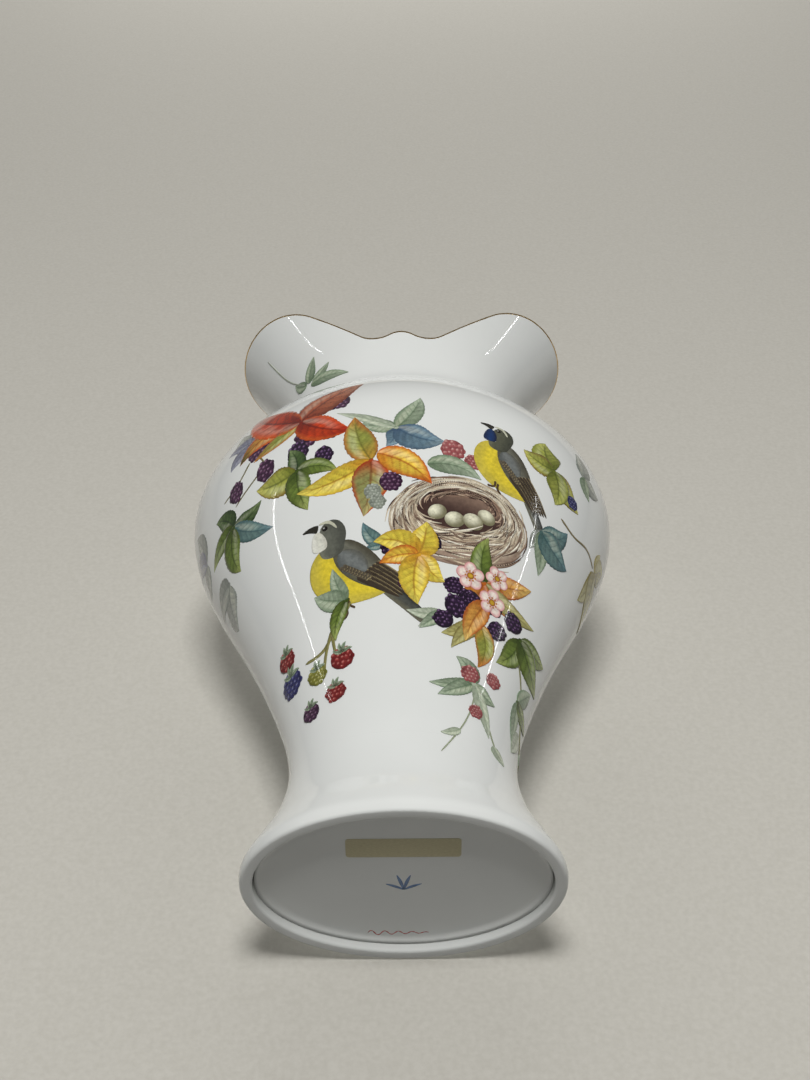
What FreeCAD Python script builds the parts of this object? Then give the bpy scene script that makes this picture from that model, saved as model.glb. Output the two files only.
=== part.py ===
import FreeCAD, Part
import math
import os
import Sketcher

# Flattened baluster vase. Origin: centre of the foot's underside, +Z up the vase, the painted
# front faces -Y. All sizes are millimetres.

V = FreeCAD.Vector
doc = FreeCAD.newDocument("vase")
sheet = doc.addObject("Spreadsheet::Sheet", "Sizes")

# name, size, meaning
SIZES = [
    ("flatten", 0.709, "front-to-back depth over width, the same at every height"),
    ("waist_level", 44.0, "lute joint between the foot and the belly"),
    ("crease_level", 250.0, "lute joint between the shoulder and the neck"),
    ("panel_level", 4.5, "depth of the recess under the vase"),
    ("panel_thick", 4.0, "thickness of the floor"),
    ("label_long", 38.0, "paper label, left to right"),
    ("label_wide", 9.0, "paper label, front to back"),
    ("label_thick", 0.15, "paper thickness"),
    ("label_forward", 15.0, "label centre, towards the front from the middle of the floor"),
    ("gilding_high", 0.5, "height of the gold on the lip"),
    ("lip_top", 330.0, "a level safely above the lip"),
    ("lip_side", 110.0, "a distance safely outside the ears"),
    ("cusp_round", 10.5, "radius of the small cusp in the middle of the lip"),
    ("dip_level", 280.0, "lowest points of the lip, either side of the cusp"),
    ("dip_apart", 11.2, "dip from the middle"),
    ("dip_round", 12.0, "radius of the lip in a dip"),
    ("ear_level", 310.5, "top of an ear"),
    ("ear_apart", 70.0, "ear top from the middle"),
    ("ear_round", 45.0, "radius of the lip over an ear"),
]

# Level, half width and wall (measured flat, so more where the wall leans) of foot and belly.
BELLY = [
    ("ring", 0.0, 54.2, 4.0),
    ("toe", 3.0, 54.8, 4.8),
    ("heel", 8.0, 53.1, 4.6),
    ("instep", 14.0, 50.1, 4.5),
    ("ankle", 22.0, 46.1, 4.4),
    ("shin", 32.0, 42.6, 4.0),
    ("waist", 44.0, 40.6, 3.8),
    ("hip", 80.0, 47.7, 3.8),
    ("belly", 120.0, 64.3, 4.0),
    ("flank", 160.0, 82.0, 3.8),
    ("widest", 188.0, 86.7, 3.6),
    ("shoulder", 218.0, 78.0, 4.2),
    ("slope", 238.0, 63.2, 5.2),
    ("crease", 250.0, 51.5, 5.0),
]

# Level, half width, half depth and wall of the trumpet that the neck is cut from.
NECK = [
    ("root", 250.0, 51.5, 36.5, 5.0),
    ("throat", 256.0, 49.8, 35.2, 3.8),
    ("swell", 266.0, 50.6, 36.0, 3.4),
    ("spread", 278.0, 54.6, 38.8, 3.3),
    ("flare", 290.0, 61.6, 42.8, 3.3),
    ("brim", 302.0, 69.8, 47.4, 3.3),
    ("edge", 316.0, 80.4, 52.6, 3.3),
]


def set_size(row, name, value, meaning=""):
    """Write one named size into the spreadsheet."""
    sheet.set("A%d" % row, name)
    sheet.set("B%d" % row, str(value))
    sheet.set("C%d" % row, meaning)
    sheet.setAlias("B%d" % row, name)
    return row + 1


row = 1
for name, value, meaning in SIZES:
    row = set_size(row, name, value, meaning)
for name, level, half, wall in BELLY:
    row = set_size(row, name + "_height", level)
    row = set_size(row, name + "_half", half)
    row = set_size(row, name + "_wall", wall)
for name, level, half, deep, wall in NECK:
    row = set_size(row, name + "_height", level)
    row = set_size(row, name + "_half", half)
    row = set_size(row, name + "_deep", deep)
    row = set_size(row, name + "_wall", wall)
doc.recompute()


def bind(obj, prop, formula):
    """Bind one property to the spreadsheet; @ stands for the sheet."""
    obj.setExpression(prop, formula.replace("@", "Sizes."))


def oval(label, major, minor, level):
    """A level ellipse, long axis left to right."""
    ring = doc.addObject("Part::Ellipse", label)
    bind(ring, "MajorRadius", major)
    bind(ring, "MinorRadius", minor)
    bind(ring, "Placement.Base.z", level)
    return ring


def loft(label, sections):
    """A smooth solid through level sections."""
    skin = doc.addObject("Part::Loft", label)
    skin.Sections = sections
    skin.Solid = True
    skin.Ruled = False
    return skin


def combine(kind, label, base, tool):
    """A Part boolean of two objects."""
    result = doc.addObject("Part::" + kind, label)
    result.Base = base
    result.Tool = tool
    return result


def slab(label, low, high):
    """A wide box between two levels."""
    box = doc.addObject("Part::Box", label)
    bind(box, "Length", "2 * @lip_side")
    bind(box, "Width", "2 * @lip_side")
    bind(box, "Height", "%s - (%s)" % (high, low))
    bind(box, "Placement.Base.x", "-@lip_side")
    bind(box, "Placement.Base.y", "-@lip_side")
    bind(box, "Placement.Base.z", low)
    return box


# Belly and foot: one outer and one inner skin, parted at the waist.
outer = []
inner = []
for name, _, _, _ in BELLY:
    half = "@%s_half" % name
    wall = "@%s_wall" % name
    level = "@%s_height" % name
    outer.append(oval("outer_" + name, half, half + " * @flatten", level))
    inner.append(oval("inner_" + name, half + " - " + wall, half + " * @flatten - " + wall, level))
outside = loft("outside", outer)
inside = loft("inside", inner)
wall_all = combine("Cut", "wall_all", outside, inside)

foot = combine("Common", "foot_pedestal", wall_all, slab("foot_span", "0 * @lip_side", "@waist_level"))
body = combine("Common", "body_shell", wall_all, slab("body_span", "@waist_level", "@lip_top"))

# Floor: the slice of the hollow just above the recess, so its edge meets the foot all round.
panel_span = slab("panel_span", "@panel_level", "@panel_level + @panel_thick")
panel = combine("Common", "base_panel", inside, panel_span)

# Neck: a trumpet, cut to the wavy lip seen from the front.
trumpet_out = []
trumpet_in = []
for name, _, _, _, _ in NECK:
    half = "@%s_half" % name
    deep = "@%s_deep" % name
    wall = "@%s_wall" % name
    level = "@%s_height" % name
    trumpet_out.append(oval("horn_" + name, half, deep, level))
    trumpet_in.append(oval("throat_" + name, half + " - " + wall, deep + " - " + wall, level))
trumpet = combine("Cut", "trumpet", loft("horn", trumpet_out), loft("gullet", trumpet_in))


def lip_outline():
    """Everything above the lip line, seen from the front: cusp, two dips and two ears."""
    sk = doc.addObject("Sketcher::SketchObject", "lip_outline")
    sk.Placement = FreeCAD.Placement(V(0, 0, 0), FreeCAD.Rotation(V(1, 0, 0), 90))
    top, side = sheet.get("lip_top"), sheet.get("lip_side")
    ear_r, dip_r, cusp_r = sheet.get("ear_round"), sheet.get("dip_round"), sheet.get("cusp_round")
    ear = V(sheet.get("ear_apart"), sheet.get("ear_level") - ear_r, 0)
    dip = V(sheet.get("dip_apart"), sheet.get("dip_level") + dip_r, 0)
    cusp = V(0, dip.y - math.sqrt((cusp_r + dip_r) ** 2 - dip.x ** 2), 0)
    # The straight run leaves the dip arc and meets the ear arc at one slope.
    gap = ear - dip
    run = math.sqrt(gap.Length ** 2 - (ear_r + dip_r) ** 2)
    slope = math.atan2(gap.y, gap.x) + math.atan2(ear_r + dip_r, run)
    lean = math.atan2(dip.y - cusp.y, dip.x)
    outer_turn = math.acos((side - ear.x) / ear_r)

    def arc(centre, radius, start, end):
        circle = Part.Circle(centre, V(0, 0, 1), radius)
        return sk.addGeometry(Part.ArcOfCircle(circle, start, end), False)

    def line(start, end):
        return sk.addGeometry(Part.LineSegment(start, end), False)

    def on(centre, radius, angle):
        return centre + V(math.cos(angle), math.sin(angle), 0) * radius

    def mirror(point):
        return V(-point.x, point.y, 0)

    ear_end = on(ear, ear_r, outer_turn)
    ear_touch = on(ear, ear_r, slope + math.pi / 2)
    dip_touch = on(dip, dip_r, slope - math.pi / 2)
    roof = line(V(-side, top, 0), V(side, top, 0))
    right = line(V(side, top, 0), ear_end)
    ear_right = arc(ear, ear_r, outer_turn, slope + math.pi / 2)
    run_right = line(ear_touch, dip_touch)
    dip_right = arc(dip, dip_r, lean - math.pi, slope - math.pi / 2)
    cusp_arc = arc(cusp, cusp_r, lean, math.pi - lean)
    dip_left = arc(mirror(dip), dip_r, 1.5 * math.pi - slope, 2 * math.pi - lean)
    run_left = line(mirror(dip_touch), mirror(ear_touch))
    ear_left = arc(mirror(ear), ear_r, math.pi / 2 - slope, math.pi - outer_turn)
    left = line(mirror(ear_end), V(-side, top, 0))

    rule = sk.addConstraint
    C = Sketcher.Constraint
    for a, end_a, b, end_b in [
        (ear_right, 2, run_right, 1),
        (run_right, 2, dip_right, 2),
        (dip_right, 1, cusp_arc, 1),
        (cusp_arc, 2, dip_left, 2),
        (dip_left, 1, run_left, 1),
        (run_left, 2, ear_left, 1),
    ]:
        rule(C("Tangent", a, end_a, b, end_b))
    for a, end_a, b, end_b in [
        (ear_left, 2, left, 1),
        (left, 2, roof, 1),
        (roof, 2, right, 1),
        (right, 2, ear_right, 1),
    ]:
        rule(C("Coincident", a, end_a, b, end_b))
    rule(C("Horizontal", roof))
    rule(C("Vertical", right))
    rule(C("Vertical", left))
    rule(C("Symmetric", ear_right, 3, ear_left, 3, -2))
    rule(C("Symmetric", dip_right, 3, dip_left, 3, -2))
    rule(C("Equal", ear_right, ear_left))
    rule(C("Equal", dip_right, dip_left))

    def size(constraint, formula):
        index = rule(constraint)
        bind(sk, "Constraints[%d]" % index, formula)

    size(C("Radius", ear_right, ear_r), "@ear_round")
    size(C("Radius", dip_right, dip_r), "@dip_round")
    size(C("Radius", cusp_arc, cusp_r), "@cusp_round")
    size(C("DistanceX", -1, 1, ear_right, 3, ear.x), "@ear_apart")
    size(C("DistanceY", -1, 1, ear_right, 3, ear.y), "@ear_level - @ear_round")
    size(C("DistanceX", -1, 1, dip_right, 3, dip.x), "@dip_apart")
    size(C("DistanceY", -1, 1, dip_right, 3, dip.y), "@dip_level + @dip_round")
    size(C("DistanceX", -1, 1, roof, 2, side), "@lip_side")
    size(C("DistanceX", roof, 1, -1, 1, side), "@lip_side")
    size(C("DistanceY", -1, 1, roof, 2, top), "@lip_top")
    return sk


def above(label, outline, drop):
    """The space above the lip line, lowered by a drop."""
    space = doc.addObject("Part::Extrusion", label)
    space.Base = outline
    space.DirMode = "Normal"
    space.Solid = True
    space.Symmetric = True
    bind(space, "LengthFwd", "2 * @lip_side")
    bind(space, "Placement.Base.z", "-(%s)" % drop)
    return space


outline = lip_outline()
above_lip = above("above_lip", outline, "0 * @gilding_high")
above_neck = above("above_neck", outline, "@gilding_high")
neck = combine("Cut", "neck_collar", trumpet, above_neck)
lip_band = combine("Common", "lip_band", trumpet, above_neck)
gilding = combine("Cut", "rim_gilding", lip_band, above_lip)

# Paper label under the floor.
label = doc.addObject("Part::Box", "paper_label")
bind(label, "Length", "@label_long")
bind(label, "Width", "@label_wide")
bind(label, "Height", "@label_thick")
bind(label, "Placement.Base.x", "-@label_long / 2")
bind(label, "Placement.Base.y", "-@label_forward - @label_wide / 2")
bind(label, "Placement.Base.z", "@panel_level - @label_thick")

doc.recompute()
for obj in doc.Objects:
    bad = [word for word in obj.State if word in ("Invalid", "Error")]
    if bad:
        raise RuntimeError("%s is %s" % (obj.Name, bad))

os.makedirs("parts", exist_ok=True)
for node in [foot, panel, body, neck, gilding, label]:
    shape = node.Shape
    if shape.isNull() or not shape.isValid() or len(shape.Solids) != 1:
        raise RuntimeError("%s is not one valid solid" % node.Label)
    shape.exportStep("parts/%s.step" % node.Label)
    box = shape.BoundBox
    print(node.Label, round(shape.Volume, 1), [round(n, 2) for n in (box.XLength, box.YLength, box.ZMin, box.ZMax)])
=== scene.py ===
import math
import random

import bpy
import numpy as np
from mathutils import Matrix, Vector


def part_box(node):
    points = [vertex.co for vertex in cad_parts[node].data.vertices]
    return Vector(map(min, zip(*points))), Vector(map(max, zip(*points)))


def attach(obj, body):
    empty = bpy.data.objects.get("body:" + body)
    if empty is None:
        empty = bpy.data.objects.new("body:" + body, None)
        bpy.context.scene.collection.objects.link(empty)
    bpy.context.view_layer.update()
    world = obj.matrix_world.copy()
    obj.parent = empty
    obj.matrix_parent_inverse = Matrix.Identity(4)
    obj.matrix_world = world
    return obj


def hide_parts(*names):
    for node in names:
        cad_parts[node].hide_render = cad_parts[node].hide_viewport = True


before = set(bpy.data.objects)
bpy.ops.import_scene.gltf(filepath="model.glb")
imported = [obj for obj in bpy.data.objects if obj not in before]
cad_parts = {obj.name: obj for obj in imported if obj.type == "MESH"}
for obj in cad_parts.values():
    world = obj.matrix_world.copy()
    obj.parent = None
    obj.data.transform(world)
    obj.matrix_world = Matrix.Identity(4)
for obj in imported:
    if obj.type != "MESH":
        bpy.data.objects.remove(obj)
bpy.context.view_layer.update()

# Porcelain vase, painted front towards -Y. Sizes below are millimetres; meshes are metres.
MM = 0.001
rng = random.Random(11)

# ---------------------------------------------------------------- the shape of the vase

FLATTEN = 0.709
WAIST, CREASE, PANEL = 44.0, 250.0, 4.5
# level, half width, wall
BELLY = [
    (0.0, 54.2, 4.0),
    (3.0, 54.8, 4.8),
    (8.0, 53.1, 4.6),
    (14.0, 50.1, 4.5),
    (22.0, 46.1, 4.4),
    (32.0, 42.6, 4.0),
    (44.0, 40.6, 3.8),
    (80.0, 47.7, 3.8),
    (120.0, 64.3, 4.0),
    (160.0, 82.0, 3.8),
    (188.0, 86.7, 3.6),
    (218.0, 78.0, 4.2),
    (238.0, 63.2, 5.2),
    (250.0, 51.5, 5.0),
]
# level, half width, half depth, wall
NECK = [
    (250.0, 51.5, 36.5, 5.0),
    (256.0, 49.8, 35.2, 3.8),
    (266.0, 50.6, 36.0, 3.4),
    (278.0, 54.6, 38.8, 3.3),
    (290.0, 61.6, 42.8, 3.3),
    (302.0, 69.8, 47.4, 3.3),
    (316.0, 80.4, 52.6, 3.3),
]


def natural_spline(knots, values, at):
    """Values of the natural cubic through (knots, values) at the given places."""
    knots, values = np.array(knots, float), np.array(values, float)
    n, step = len(knots), np.diff(np.array(knots, float))
    rows, side = np.eye(n), np.zeros(n)
    for i in range(1, n - 1):
        rows[i, i - 1 : i + 2] = step[i - 1], 2 * (step[i - 1] + step[i]), step[i]
        rise, fall = values[i + 1] - values[i], values[i] - values[i - 1]
        side[i] = 6 * (rise / step[i] - fall / step[i - 1])
    bend = np.linalg.solve(rows, side)
    i = np.clip(np.searchsorted(knots, at) - 1, 0, n - 2)
    p, q, d = knots[i + 1] - at, at - knots[i], step[i]
    curve = (bend[i] * p**3 + bend[i + 1] * q**3) / (6 * d)
    lines = (values[i] / d - bend[i] * d / 6) * p + (values[i + 1] / d - bend[i + 1] * d / 6) * q
    return curve + lines


def stations(table, count):
    """A table of stations turned into smooth columns, evenly spread along the outline."""
    table = np.array(table)
    run = np.concatenate([[0], np.cumsum(np.hypot(np.diff(table[:, 0]), np.diff(table[:, 1])))])
    at = np.linspace(0, run[-1], count)
    return [natural_spline(run, table[:, k], at) for k in range(table.shape[1])]


belly_z, belly_a, belly_wall = stations(BELLY, 1200)
neck_z, neck_a, neck_b, neck_wall = stations(NECK, 600)

# Lip line seen from the front: small cusp, two dips, two ears.
CUSP_R, DIP_R, DIP_X, DIP_Z, EAR_R, EAR_X, EAR_Z = 10.5, 12.0, 11.2, 280.0, 45.0, 70.0, 310.5


def lip_line(x):
    """Height of the lip at a distance from the middle of the front."""
    x = np.abs(x)
    dip_z, ear_z = DIP_Z + DIP_R, EAR_Z - EAR_R
    cusp_z = dip_z - math.sqrt((CUSP_R + DIP_R) ** 2 - DIP_X**2)
    gap_x, gap_z = EAR_X - DIP_X, ear_z - dip_z
    run = math.sqrt(gap_x**2 + gap_z**2 - (EAR_R + DIP_R) ** 2)
    slope = math.atan2(gap_z, gap_x) + math.atan2(EAR_R + DIP_R, run)
    cusp = cusp_z + np.sqrt(np.maximum(CUSP_R**2 - x**2, 0))
    dip = dip_z - np.sqrt(np.maximum(DIP_R**2 - (x - DIP_X) ** 2, 0))
    ear = ear_z + np.sqrt(np.maximum(EAR_R**2 - (x - EAR_X) ** 2, 0))
    x1 = DIP_X * CUSP_R / (CUSP_R + DIP_R)
    x2, x3 = DIP_X + DIP_R * math.sin(slope), EAR_X - EAR_R * math.sin(slope)
    ramp = dip_z - DIP_R * math.cos(slope) + (x - x2) * math.tan(slope)
    return np.where(x < x1, cusp, np.where(x < x2, dip, np.where(x < x3, ramp, ear)))


# ---------------------------------------------------------------- mesh helpers


def new_mesh(name, points, faces, material, flat=(), colours=None):
    """A smooth-shaded piece riding on the vase. Points are millimetres; flat lists hard faces."""
    mesh = bpy.data.meshes.new(name)
    mesh.from_pydata([tuple(p) for p in np.asarray(points) * MM], [], faces)
    smooth = np.ones(len(mesh.polygons), bool)
    smooth[list(flat)] = False
    mesh.polygons.foreach_set("use_smooth", smooth)
    if colours is not None:
        paint = mesh.attributes.new("paint", "FLOAT_COLOR", "POINT")
        paint.data.foreach_set("color", np.c_[colours, np.ones(len(colours))].ravel())
    mesh.materials.append(material)
    mesh.validate()
    piece = bpy.data.objects.new(name, mesh)
    bpy.context.scene.collection.objects.link(piece)
    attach(piece, "root")
    return piece


def tube(name, rows, material, columns=288, closed=True, joints=()):
    """A solid swept round the vase: rows of (half width, half depth, level) make its section.

    Joints are the rows whose next band is a flat joint face, shaded hard.
    """
    turn = np.linspace(0, 2 * math.pi, columns, endpoint=False)
    points = []
    for a, b, z in rows:
        x, y = a * np.sin(turn), -b * np.cos(turn)
        points.append(np.stack([x, y, z + 0 * turn], 1))
    count = len(rows)
    faces = []
    for r in range(count if closed else count - 1):
        up = (r + 1) % count
        for c in range(columns):
            d = (c + 1) % columns
            faces.append((r * columns + c, r * columns + d, up * columns + d, up * columns + c))
    if not closed:
        faces.append(tuple(range(columns))[::-1])
        faces.append(tuple((count - 1) * columns + c for c in range(columns)))
    flat = [r % count * columns + c for r in joints for c in range(columns)]
    return new_mesh(name, np.concatenate(points), faces, material, flat)


def belly_half(z):
    return np.interp(z, belly_z, belly_a)


def skin_row(z, inner):
    """Half width, half depth and level of the outer or inner skin at one level."""
    a = belly_half(z)
    inset = np.interp(z, belly_z, belly_wall) if inner else 0.0
    return a - inset, a * FLATTEN - inset, z


def skin_rows(low, high, count, inner):
    """Section rows between two levels, with close-set end rows so that joints shade smoothly."""
    nudge = 0.04 if high > low else -0.04
    middle = np.linspace(low, high, count - 2)[1:-1]
    return [skin_row(z, inner) for z in [low, low + nudge, *middle, high - nudge, high]]


# ---------------------------------------------------------------- materials


def shader(name, rough, coat=0.0, coat_rough=0.03, metal=0.0, ior=1.5):
    """A Principled material and the tools to wire it."""
    mat = bpy.data.materials.new(name)
    mat.use_nodes = True
    nodes, links = mat.node_tree.nodes, mat.node_tree.links
    bsdf = nodes["Principled BSDF"]
    bsdf.inputs["Roughness"].default_value = rough
    bsdf.inputs["Metallic"].default_value = metal
    bsdf.inputs["IOR"].default_value = ior
    bsdf.inputs["Coat Weight"].default_value = coat
    bsdf.inputs["Coat Roughness"].default_value = coat_rough
    return mat, nodes, links, bsdf


def cloud(nodes, links, scale, detail=3.0, stretch=(1, 1, 1)):
    """Noise in the vase's own space; scale is per metre."""
    where = nodes.new("ShaderNodeTexCoord")
    place = nodes.new("ShaderNodeMapping")
    place.inputs["Scale"].default_value = stretch
    noise = nodes.new("ShaderNodeTexNoise")
    noise.inputs["Scale"].default_value = scale
    noise.inputs["Detail"].default_value = detail
    links.new(where.outputs["Object"], place.inputs["Vector"])
    links.new(place.outputs["Vector"], noise.inputs["Vector"])
    return noise.outputs["Fac"]


def spread(nodes, links, value, low, high):
    """A 0-1 value mapped to a range."""
    span = nodes.new("ShaderNodeMapRange")
    span.inputs["To Min"].default_value = low
    span.inputs["To Max"].default_value = high
    links.new(value, span.inputs["Value"])
    return span.outputs["Result"]


def tones(nodes, links, value, stops):
    """A colour ramp: stops of (place, colour)."""
    ramp = nodes.new("ShaderNodeValToRGB")
    bar = ramp.color_ramp
    while len(bar.elements) < len(stops):
        bar.elements.new(0.5)
    for element, (place, colour) in zip(bar.elements, stops):
        element.position = place
        element.color = (*colour, 1)
    links.new(value, ramp.inputs["Fac"])
    return ramp.outputs["Color"]


def relief(nodes, links, bsdf, value, strength, depth):
    """Bump from a value, depth in millimetres."""
    bump = nodes.new("ShaderNodeBump")
    bump.inputs["Strength"].default_value = strength
    bump.inputs["Distance"].default_value = depth * MM
    links.new(value, bump.inputs["Height"])
    links.new(bump.outputs["Normal"], bsdf.inputs["Normal"])


def porcelain(name, dark, light):
    """White glaze: faint pooling in the colour and a hand-finished ripple."""
    mat, nodes, links, bsdf = shader(name, 0.05, coat=0.4, coat_rough=0.015)
    pool = cloud(nodes, links, 22, 4)
    links.new(tones(nodes, links, pool, [(0.3, dark), (0.7, light)]), bsdf.inputs["Base Color"])
    links.new(spread(nodes, links, cloud(nodes, links, 160, 5), 0.035, 0.07), bsdf.inputs["Roughness"])
    relief(nodes, links, bsdf, cloud(nodes, links, 38, 2), 0.06, 0.5)
    return mat


GLAZE = porcelain("glazed_porcelain", (0.77, 0.785, 0.76), (0.81, 0.825, 0.8))

GOLD, nodes, links, bsdf = shader("burnished_gold", 0.22, metal=1.0)
worn = cloud(nodes, links, 240, 4)
gold_tones = [(0.3, (0.56, 0.36, 0.12)), (0.7, (0.8, 0.56, 0.24))]
links.new(tones(nodes, links, worn, gold_tones), bsdf.inputs["Base Color"])
links.new(spread(nodes, links, worn, 0.16, 0.34), bsdf.inputs["Roughness"])
relief(nodes, links, bsdf, cloud(nodes, links, 900, 2), 0.15, 0.05)

PAPER, nodes, links, bsdf = shader("cream_paper", 0.8)
fibre = cloud(nodes, links, 900, 6, (1, 3, 1))
paper_tones = [(0.3, (0.6, 0.54, 0.34)), (0.7, (0.7, 0.64, 0.42))]
links.new(tones(nodes, links, fibre, paper_tones), bsdf.inputs["Base Color"])
links.new(spread(nodes, links, fibre, 0.6, 0.9), bsdf.inputs["Roughness"])
relief(nodes, links, bsdf, fibre, 0.3, 0.06)

# Overglaze enamel: the colour painted on each piece, broken up by fine brush grain.
ENAMEL, nodes, links, bsdf = shader("overglaze_enamel", 0.1, coat=0.6, coat_rough=0.015)
painted = nodes.new("ShaderNodeAttribute")
painted.attribute_name = "paint"
grain = tones(nodes, links, cloud(nodes, links, 700, 4), [(0.3, (0.8,) * 3), (0.7, (1.12,) * 3)])
mix = nodes.new("ShaderNodeMix")
mix.data_type, mix.blend_type = "RGBA", "MULTIPLY"
mix.inputs["Factor"].default_value = 1.0
links.new(painted.outputs["Color"], mix.inputs["A"])
links.new(grain, mix.inputs["B"])
links.new(mix.outputs["Result"], bsdf.inputs["Base Color"])
links.new(spread(nodes, links, cloud(nodes, links, 300, 3), 0.08, 0.2), bsdf.inputs["Roughness"])
relief(nodes, links, bsdf, cloud(nodes, links, 1500, 2), 0.12, 0.03)

# ---------------------------------------------------------------- porcelain pieces

FOOT_RING, FOOT_OUTSIDE = 7, 46


def foot_rows():
    """Foot section: up the outside from a rounded ring, across the lute joint, down the inside."""
    rows = []
    for k in range(FOOT_RING):
        t = math.pi / 2 * k / (FOOT_RING - 1)
        a = belly_half(1.3) - 1.4 * (1 - math.sin(t))
        rows.append((a, a * FLATTEN, 1.3 * (1 - math.cos(t))))
    rows += skin_rows(1.6, WAIST, FOOT_OUTSIDE, False)
    rows += skin_rows(WAIST, 1.0, 36, True)
    for k in range(1, 6):
        t = math.pi / 2 * k / 5
        a, b, _ = skin_row(1.0, True)
        rows.append((a + 1.0 * (1 - math.cos(t)), b + 1.0 * (1 - math.cos(t)), 1.0 - math.sin(t)))
    return rows


foot = tube("foot_pedestal_glazed", foot_rows(), GLAZE, joints=(FOOT_RING + FOOT_OUTSIDE - 1,))
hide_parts("foot_pedestal")

BODY_OUTSIDE = 190
body_rows = skin_rows(WAIST, CREASE, BODY_OUTSIDE, False) + skin_rows(CREASE, WAIST, 120, True)
body = tube("body_shell_glazed", body_rows, GLAZE, 360, joints=(BODY_OUTSIDE - 1, -1))
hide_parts("body_shell")

# Floor of the vase: its underside curves down into the foot ring like pooled glaze.
panel_rows = []
edge_a, edge_b, _ = skin_row(PANEL, True)
for k in range(40):
    share = (k + 1) / 40
    drop = 1.6 * max(0, (share - 0.94) / 0.06) ** 2
    panel_rows.append((edge_a * share, edge_b * share, PANEL - drop))
for k in range(12):
    top_a, top_b, _ = skin_row(PANEL + 4, True)
    share = 1 - k / 12
    panel_rows.append((top_a * share, top_b * share, PANEL + 4))
panel = tube("base_panel_glazed", panel_rows, GLAZE, 192, closed=False)
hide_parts("base_panel")

LIP_START, LIP_STEPS, LIP_ROUND = 290.0, 60, 1.2


def lip_levels(turn):
    """Level of the lip at each turn round the trumpet, closed in on step by step."""
    z = np.full_like(turn, LIP_START)
    for _ in range(LIP_STEPS):
        a = np.interp(z, neck_z, neck_a)
        z = 0.5 * z + 0.5 * lip_line(a * np.sin(turn))
    return z


def trumpet(z, depth):
    """Half width and half depth of the neck at a level, a depth below its outer skin (0 to 1)."""
    wall = np.interp(z, neck_z, neck_wall) * depth
    return np.interp(z, neck_z, neck_a) - wall, np.interp(z, neck_z, neck_b) - wall


NECK_TURNS = 480
turn = np.linspace(0, 2 * math.pi, NECK_TURNS, endpoint=False)
lip = lip_levels(turn)


def neck_section():
    """Columns of the neck's section: up the outside, over a rounded lip, down the inside."""
    rings = []
    for share in np.linspace(0, 1, 60):
        z = CREASE + (lip - LIP_ROUND - CREASE) * share
        rings.append((*trumpet(z, 0.0), z))
    for k in range(1, 8):
        t = math.pi * k / 8
        z = lip - LIP_ROUND + LIP_ROUND * math.sin(t)
        rings.append((*trumpet(lip - LIP_ROUND, 0.5 - 0.5 * math.cos(t)), z))
    for share in np.linspace(1, 0, 44):
        z = CREASE + (lip - LIP_ROUND - CREASE) * share
        rings.append((*trumpet(z, 1.0), z))
    return rings


neck = tube("neck_collar_glazed", neck_section(), GLAZE, NECK_TURNS, joints=(-1,))
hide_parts("neck_collar")

GOLD_LIFT = 0.05


def gilding_section():
    """A skin of gold over the lip, a little way down each side."""
    over, under = [], []
    for lift, rings in ((GOLD_LIFT, over), (-GOLD_LIFT, under)):
        for drop in (0.5, 0.25):
            z = lip - LIP_ROUND - drop
            a, b = trumpet(z, 0.0)
            rings.append((a + lift, b + lift, z))
        for k in range(0, 9):
            t = math.pi * k / 8
            a, b = trumpet(lip - LIP_ROUND, 0.5 - 0.5 * math.cos(t))
            z = lip - LIP_ROUND + (LIP_ROUND + lift) * math.sin(t)
            rings.append((a + lift * math.cos(t), b + lift * math.cos(t), z))
        for drop in (0.25, 0.5):
            z = lip - LIP_ROUND - drop
            a, b = trumpet(z, 1.0)
            rings.append((a - lift, b - lift, z))
    return over + under[::-1]


gilding = tube("rim_gilding_line", gilding_section(), GOLD, NECK_TURNS)
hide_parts("rim_gilding")

# ---------------------------------------------------------------- painting on the glaze
# Places are (s, z): s millimetres round the belly from the middle of the front, z the level.

SUNK, FIRST_LIFT, LIFT_STEP = -0.02, 0.02, 0.0016
INK_DEPTH = 1.18
ARC_TURN = np.linspace(-math.pi, math.pi, 4001)
arc_speed = np.hypot(np.cos(ARC_TURN), FLATTEN * np.sin(ARC_TURN))
ARC = np.concatenate([[0], np.cumsum((arc_speed[1:] + arc_speed[:-1]) / 2 * np.diff(ARC_TURN))])
ARC -= ARC[len(ARC) // 2]
BELLY_SLOPE = np.gradient(belly_a, belly_z)
NECK_SLOPE_A, NECK_SLOPE_B = np.gradient(neck_a, neck_z), np.gradient(neck_b, neck_z)


def raised(x, y, z, normal, lift):
    """Points pushed off the surface along its normal."""
    normal = normal / np.linalg.norm(normal, axis=-1, keepdims=True)
    return np.stack([x, y, z], -1) + normal * lift


def on_belly(s, z, lift):
    a = belly_half(z)
    b = a * FLATTEN
    turn = np.interp(s / a, ARC, ARC_TURN)
    x, y = a * np.sin(turn), -b * np.cos(turn)
    slope = np.interp(z, belly_z, BELLY_SLOPE)
    return raised(x, y, z, np.stack([x / a**2, y / b**2, -slope / a], -1), lift)


def on_neck(s, z, lift):
    """The same on the trumpet, whose ellipse grows rounder towards the lip."""
    a, b = trumpet(z, 0.0)
    turn = np.interp(s / a, ARC, ARC_TURN)
    x, y = a * np.sin(turn), -b * np.cos(turn)
    lean = x**2 / a**3 * np.interp(z, neck_z, NECK_SLOPE_A)
    lean = lean + y**2 / b**3 * np.interp(z, neck_z, NECK_SLOPE_B)
    return raised(x, y, z, np.stack([x / a**2, y / b**2, -lean], -1), lift)


def under_foot(x, up, lift):
    """The underside seen from below: up the picture is towards the vase's front."""
    down = np.stack([0 * x, 0 * x, 0 * x - 1], -1)
    return raised(x, -up, 0 * x + PANEL, down, lift)


layers = {"count": 0}


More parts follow.
